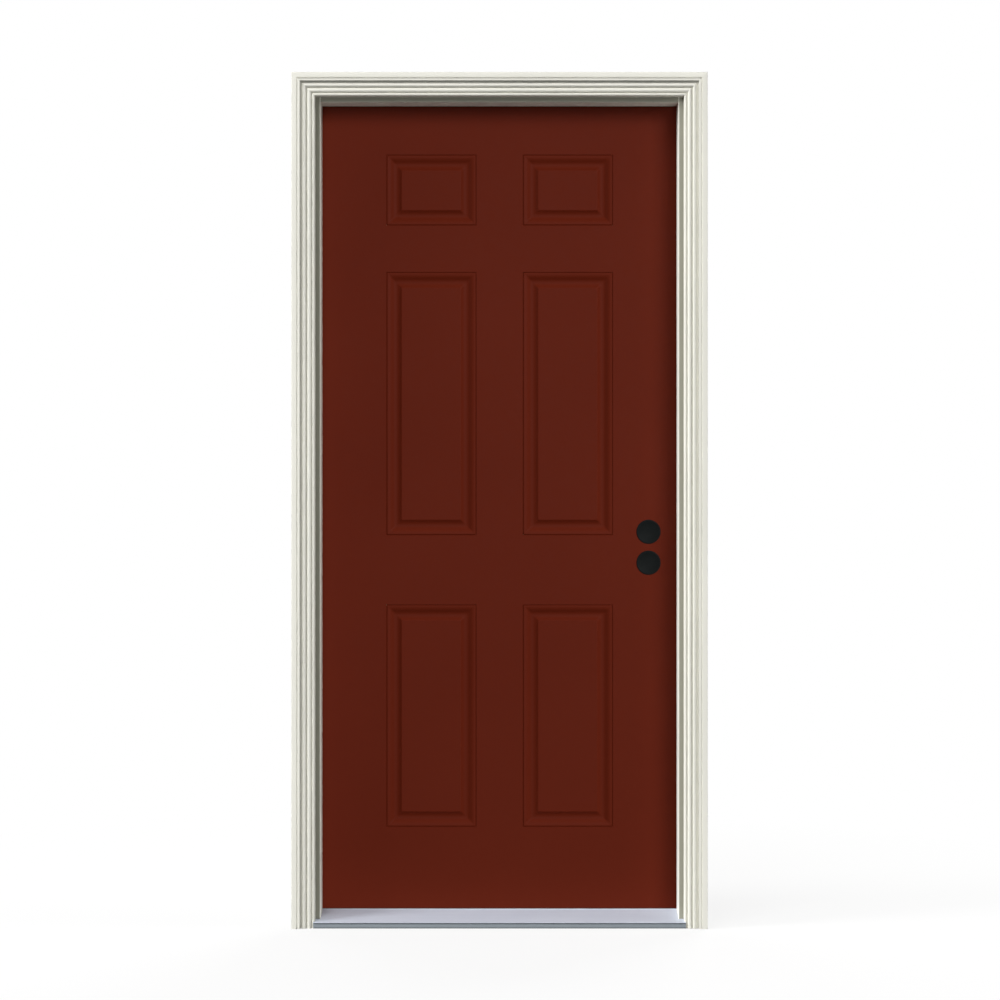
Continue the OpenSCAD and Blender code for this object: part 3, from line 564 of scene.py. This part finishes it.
def leaf_notch(zc, far, h, r):
    """Outline of a hinge leaf's notch in the fold, as (z, y-distance from the far end) points, from low z to high z."""
    pts = []
    for i in range(9):
        a = math.radians(180 + 90 * i / 8)
        pts.append((zc - h / 2 + r + r * math.cos(a), r + r * math.sin(a)))
    for i in range(9):
        a = math.radians(270 + 90 * i / 8)
        pts.append((zc + h / 2 - r + r * math.cos(a), r + r * math.sin(a)))
    return pts


class Build:
    def __init__(self):
        self.v, self.f = [], []

    def add(self, pts):
        i = len(self.v)
        self.v.extend(pts)
        return list(range(i, i + len(pts)))


LEAVES = []
for n in ("door_leaf_top", "door_leaf_middle", "door_leaf_bottom"):
    lo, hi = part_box(n)
    LEAVES.append(((lo.z + hi.z) / 2, hi.z - lo.z, lo.y))
LEAVES.sort()
LEAF_FAR = LEAVES[0][2]


def make_skin(name, inside):
    """One pressed sheet: flat face with holes, six pressings, folds down both long edges, and the sheet's own thickness round its rims."""
    y_face = S_Y1 if inside else S_Y0
    sgn = -1.0 if inside else 1.0  # depth goes this way along Y
    bend = 0.0009
    b = Build()

    def P(x, z, d):
        return (x, y_face + sgn * d, z)

    # outline of the flat face, with a cut for each leaf on the inside sheet
    xf = S_X - bend
    outline = [(-xf, S_Z0), (xf, S_Z0), (xf, S_Z1), (-xf, S_Z1)]
    notch = 0.00015
    if inside:
        cut_x = -S_X + 0.0025 + 0.00005
        for zc, h, _ in reversed(LEAVES):
            outline += [(-xf, zc + h / 2 + notch), (cut_x, zc + h / 2 + notch), (cut_x, zc - h / 2 - notch), (-xf, zc - h / 2 - notch)]
    holes = []
    prof_r = 0.0008
    panels = []
    for z0, z1 in ROWS:
        for s in (-1, 1):
            x0, x1 = (PANEL_IN, PANEL_OUT) if s > 0 else (-PANEL_OUT, -PANEL_IN)
            rings = []
            for u, d in PROF:
                r = prof_r + min(u, 0.012) * 0.16
                rings.append([(x, z, d) for x, z in ring(x0 + u, x1 - u, z0 + u, z1 - u, r)])
            panels.append(rings)
            holes.append([(x, z) for x, z, _ in rings[0]])
    for z in BORE_Z:
        holes.append([(BORE_X + BORE_R * math.cos(2 * math.pi * i / 96), z + BORE_R * math.sin(2 * math.pi * i / 96)) for i in range(96)])
    pts, edges = [], []
    for loop in [outline, *holes]:
        i0 = len(pts)
        pts.extend(loop)
        edges.extend([(i0 + i, i0 + (i + 1) % len(loop)) for i in range(len(loop))])
    vv, _, ff, *_ = delaunay_2d_cdt([Vector(p) for p in pts], edges, [], 0, 1e-7)

    def inside_poly(p, poly):
        c = False
        j = len(poly) - 1
        for i in range(len(poly)):
            if (poly[i][1] > p[1]) != (poly[j][1] > p[1]) and p[0] < (poly[j][0] - poly[i][0]) * (p[1] - poly[i][1]) / (poly[j][1] - poly[i][1]) + poly[i][0]:
                c = not c
            j = i
        return c

    ids = b.add([P(v.x, v.y, 0.0) for v in vv])
    for f in ff:
        c = sum((vv[i] for i in f), Vector((0, 0))) / len(f)
        if inside_poly(c, outline) and not any(inside_poly(c, h) for h in holes):
            b.f.append([ids[i] for i in f])
    # pressings
    for rings in panels:
        prev = b.add([P(*p) for p in rings[0]])
        for r in rings[1:]:
            cur = b.add([P(*p) for p in r])
            k = len(cur)
            for i in range(k):
                b.f.append([prev[i], prev[(i + 1) % k], cur[(i + 1) % k], cur[i]])
            prev = cur
        b.f.append(list(prev))
    # rims of the bores
    for h in holes[6:]:
        top = b.add([P(x, z, 0.0) for x, z in h])
        low = b.add([P(x, z, SKIN_T) for x, z in h])
        k = len(h)
        for i in range(k):
            b.f.append([top[i], top[(i + 1) % k], low[(i + 1) % k], low[i]])
    # folds
    n = 5
    for side in (-1, 1):
        if side < 0 and inside:
            edges_z = [S_Z0]
            for zc, h, _ in LEAVES:
                edges_z += [zc - h / 2 - notch, zc + h / 2 + notch]
            edges_z.append(S_Z1)
            spans = [(edges_z[i], edges_z[i + 1]) for i in range(0, len(edges_z), 2)]
        else:
            spans = [(S_Z0, S_Z1)]
        for z0, z1 in spans:
            cols = []
            for i in range(n + 1):
                a = math.pi / 2 * i / n
                x = side * (S_X - bend + bend * math.sin(a))
                d = bend - bend * math.cos(a)
                cols.append(b.add([P(x, z0, d), P(x, z1, d)]))
            for i in range(n):
                b.f.append([cols[i][0], cols[i + 1][0], cols[i + 1][1], cols[i][1]])
            # flat of the fold, cut round the leaves on the outer sheet
            poly = [(z0, bend), (z1, bend), (z1, FOLD)]
            if side < 0 and not inside:
                reach = FOLD - (LEAF_FAR - 0.00015 - S_Y0)  # how far the fold runs past the leaf's far end
                for zc, h, _ in reversed(LEAVES):
                    arc = [(z, FOLD - reach + d) for z, d in leaf_notch(zc, 0, h + 0.0003, 0.0159)]
                    keep = [(z, d) for z, d in arc if d < FOLD]
                    r = 0.0159
                    half = (h + 0.0003) / 2 - r + math.sqrt(max(r * r - (r - reach) ** 2, 0))
                    poly.append((zc + half, FOLD))
                    poly.extend(reversed(keep))
                    poly.append((zc - half, FOLD))
            poly.append((z0, FOLD))
            b.f.append(b.add([P(side * S_X, z, d) for z, d in poly]))
            # the raw edge of the fold and its ends
            if not (side < 0 and not inside):
                e = b.add([P(side * S_X, z0, FOLD), P(side * S_X, z1, FOLD), P(side * (S_X - SKIN_T), z1, FOLD), P(side * (S_X - SKIN_T), z0, FOLD)])
                b.f.append(e)
            for z in (z0, z1):
                e = b.add([P(side * S_X, z, bend), P(side * S_X, z, FOLD), P(side * (S_X - SKIN_T), z, FOLD), P(side * (S_X - SKIN_T), z, bend)])
                b.f.append(e)
    # raw edges along the top and bottom
    for z in (S_Z0, S_Z1):
        e = b.add([P(-xf, z, 0.0), P(xf, z, 0.0), P(xf, z, SKIN_T), P(-xf, z, SKIN_T)])
        b.f.append(e)
    me = bpy.data.meshes.new(name)
    me.from_pydata(b.v, [], b.f)
    me.update()
    o = bpy.data.objects.new(name, me)
    scene.collection.objects.link(o)
    import bmesh
    bm = bmesh.new()
    bm.from_mesh(me)
    bmesh.ops.remove_doubles(bm, verts=bm.verts, dist=2e-6)
    bmesh.ops.recalc_face_normals(bm, faces=bm.faces)
    bm.faces.ensure_lookup_table()
    # the sheet's face looks out of the slab
    big = max(bm.faces, key=lambda f: f.calc_area())
    if big.normal.y * -sgn < 0:
        bmesh.ops.reverse_faces(bm, faces=bm.faces)
    bm.to_mesh(me)
    bm.free()
    me.polygons.foreach_set("use_smooth", np.ones(len(me.polygons), bool))
    me.set_sharp_from_angle(angle=math.radians(42))
    # exact normals where a vertex lies in the flat face or in the flat of a fold, so the flats shade flat
    normals = []
    for poly in me.polygons:
        for li in poly.loop_indices:
            co = me.vertices[me.loops[li].vertex_index].co
            if abs(co.y - y_face) < 1e-6 and poly.normal.y * -sgn > 0.7:
                normals.append((0.0, -sgn, 0.0))
            elif abs(abs(co.x) - S_X) < 1e-6 and abs(poly.normal.x) > 0.7:
                normals.append((math.copysign(1.0, co.x), 0.0, 0.0))
            else:
                normals.append((0.0, 0.0, 0.0))
    me.normals_split_custom_set(normals)
    me.materials.append(steel_paint)
    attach(o, "door")
    return o


outer = make_skin("pressed_outer_sheet", False)
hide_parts("outer_skin")
inner = make_skin("pressed_inner_sheet", True)
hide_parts("inner_skin")

# ------------------------------------------------------------------ floor, backdrop and light

scene.view_settings.view_transform = "Standard"
scene.view_settings.look = "None"

floor_mesh = bpy.data.meshes.new("floor")
R = 60.0
floor_mesh.from_pydata([(-R, -R, 0), (R, -R, 0), (R, R, 0), (-R, R, 0)], [], [(0, 1, 2, 3)])
floor = bpy.data.objects.new("floor", floor_mesh)
floor.location = (0, 0, -0.0004)
scene.collection.objects.link(floor)
fm = bpy.data.materials.new("pale_floor")
fm.use_nodes = True
nt = fm.node_tree
nt.nodes.clear()
out = nt.nodes.new("ShaderNodeOutputMaterial")
dif = nt.nodes.new("ShaderNodeBsdfDiffuse")
fcol = nt.nodes.new("ShaderNodeMix")
fcol.data_type = "RGBA"
fcol.inputs[6].default_value = (0.06, 0.06, 0.06, 1)
fcol.inputs[7].default_value = (0.86, 0.86, 0.855, 1)
nt.links.new(fcol.outputs[2], dif.inputs["Color"])
emi = nt.nodes.new("ShaderNodeEmission")
emi.inputs["Color"].default_value = (1, 1, 1, 1)
emi.inputs["Strength"].default_value = 1.0
mixs = nt.nodes.new("ShaderNodeMixShader")
lp = nt.nodes.new("ShaderNodeLightPath")
geo = nt.nodes.new("ShaderNodeNewGeometry")
ln = nt.nodes.new("ShaderNodeVectorMath")
ln.operation = "LENGTH"
mr = nt.nodes.new("ShaderNodeMapRange")
mr.inputs["From Min"].default_value = 0.6
mr.inputs["From Max"].default_value = 2.2
mr.inputs["To Min"].default_value = 0.80
mr.inputs["To Max"].default_value = 1.0
mul = nt.nodes.new("ShaderNodeMath")
mul.operation = "MULTIPLY"
nt.links.new(geo.outputs["Position"], ln.inputs[0])
nt.links.new(ln.outputs["Value"], mr.inputs["Value"])
nt.links.new(mr.outputs["Result"], mul.inputs[0])
nt.links.new(lp.outputs["Is Camera Ray"], mul.inputs[1])
nt.links.new(lp.outputs["Is Camera Ray"], fcol.inputs[0])
nt.links.new(mul.outputs[0], mixs.inputs[0])
nt.links.new(dif.outputs[0], mixs.inputs[1])
nt.links.new(emi.outputs[0], mixs.inputs[2])
nt.links.new(mixs.outputs[0], out.inputs["Surface"])
floor_mesh.materials.append(fm)

world = bpy.data.worlds.new("world")
scene.world = world
world.use_nodes = True
wn = world.node_tree
bg = wn.nodes["Background"]
bg.inputs["Color"].default_value = (1, 1, 1, 1)
wl = wn.nodes.new("ShaderNodeLightPath")
wr = wn.nodes.new("ShaderNodeMapRange")
wr.inputs["To Min"].default_value = 0.07
wr.inputs["To Max"].default_value = 1.0
wn.links.new(wl.outputs["Is Camera Ray"], wr.inputs["Value"])
wn.links.new(wr.outputs["Result"], bg.inputs["Strength"])


def lamp(name, az, el, wide, high, weight, dist=20.0, target=(0, 0, 1.05), colour=(1, 1, 1)):
    """A soft box at that azimuth (0 in front, + to the right) and elevation, that many degrees wide and high.
    A white matt surface square to it reads as weight."""
    d = bpy.data.lights.new(name, "AREA")
    d.shape = "RECTANGLE"
    d.size = 2 * dist * math.tan(math.radians(wide / 2))
    d.size_y = 2 * dist * math.tan(math.radians(high / 2))
    d.energy = weight * math.pi ** 2 * dist ** 2
    d.color = colour
    o = bpy.data.objects.new(name, d)
    a, e = math.radians(az), math.radians(el)
    way = Vector((math.sin(a) * math.cos(e), -math.cos(a) * math.cos(e), math.sin(e)))
    o.location = Vector(target) + way * dist
    o.rotation_mode = "QUATERNION"
    o.rotation_quaternion = way.to_track_quat("Z", "Y")
    o.visible_camera = False
    scene.collection.objects.link(o)
    return o


# the panelled sheet is lit from the right, the frame round it from the left
slab_lamps = [
    lamp("slab_key", 28, 23, 24, 24, 0.68),
    lamp("slab_front", 0, 1, 20, 16, 0.29),
    lamp("slab_rim_right", 72, 60, 20, 20, 0.22),
    lamp("slab_rim_left", -70, 20, 16, 18, 0.14),
]
frame_lamps = [
    lamp("frame_key", -70, 29, 14, 22, 0.70, 60),
    lamp("frame_side", -48, 20, 26, 14, 0.27, 60),
    lamp("frame_upper", -26, 34, 24, 32, 0.38, 60),
    lamp("frame_right", 84, 13, 10, 20, 0.30, 60),
    lamp("frame_top", 84, 66, 16, 16, 0.09, 60),
    lamp("frame_low", 14, -16, 18, 14, 0.22, 60),
]
# behind the door, for the views from the back
lamp("back_key", 155, 25, 30, 30, 0.64, 60)
lamp("back_fill", -150, 16, 28, 28, 0.38, 60)
# the sill's deck faces up, and takes its light from above
sill_lamp = lamp("sill_top", 0, 60, 20, 16, 0.20, 60)

slab_set = bpy.data.collections.new("slab_receivers")
frame_set = bpy.data.collections.new("frame_receivers")
for o in list(scene.objects):
    if o.type != "MESH":
        continue
    b = o.parent.name if o.parent else ""
    (slab_set if b.endswith("door") else frame_set).objects.link(o)
for o in slab_lamps:
    o.light_linking.receiver_collection = slab_set
for o in frame_lamps:
    o.light_linking.receiver_collection = frame_set
# the low lamp shines up from under the floor's level, so only the door's own pieces shade it
pieces_set = bpy.data.collections.new("door_pieces")
for c in (slab_set, frame_set):
    for o in c.objects:
        if not o.name.startswith("floor"):
            pieces_set.objects.link(o)
frame_lamps[-1].light_linking.blocker_collection = pieces_set
sill_set = bpy.data.collections.new("sill_receivers")
for o in frame_set.objects:
    if o.name.startswith("sill_"):
        sill_set.objects.link(o)
sill_lamp.light_linking.receiver_collection = sill_set
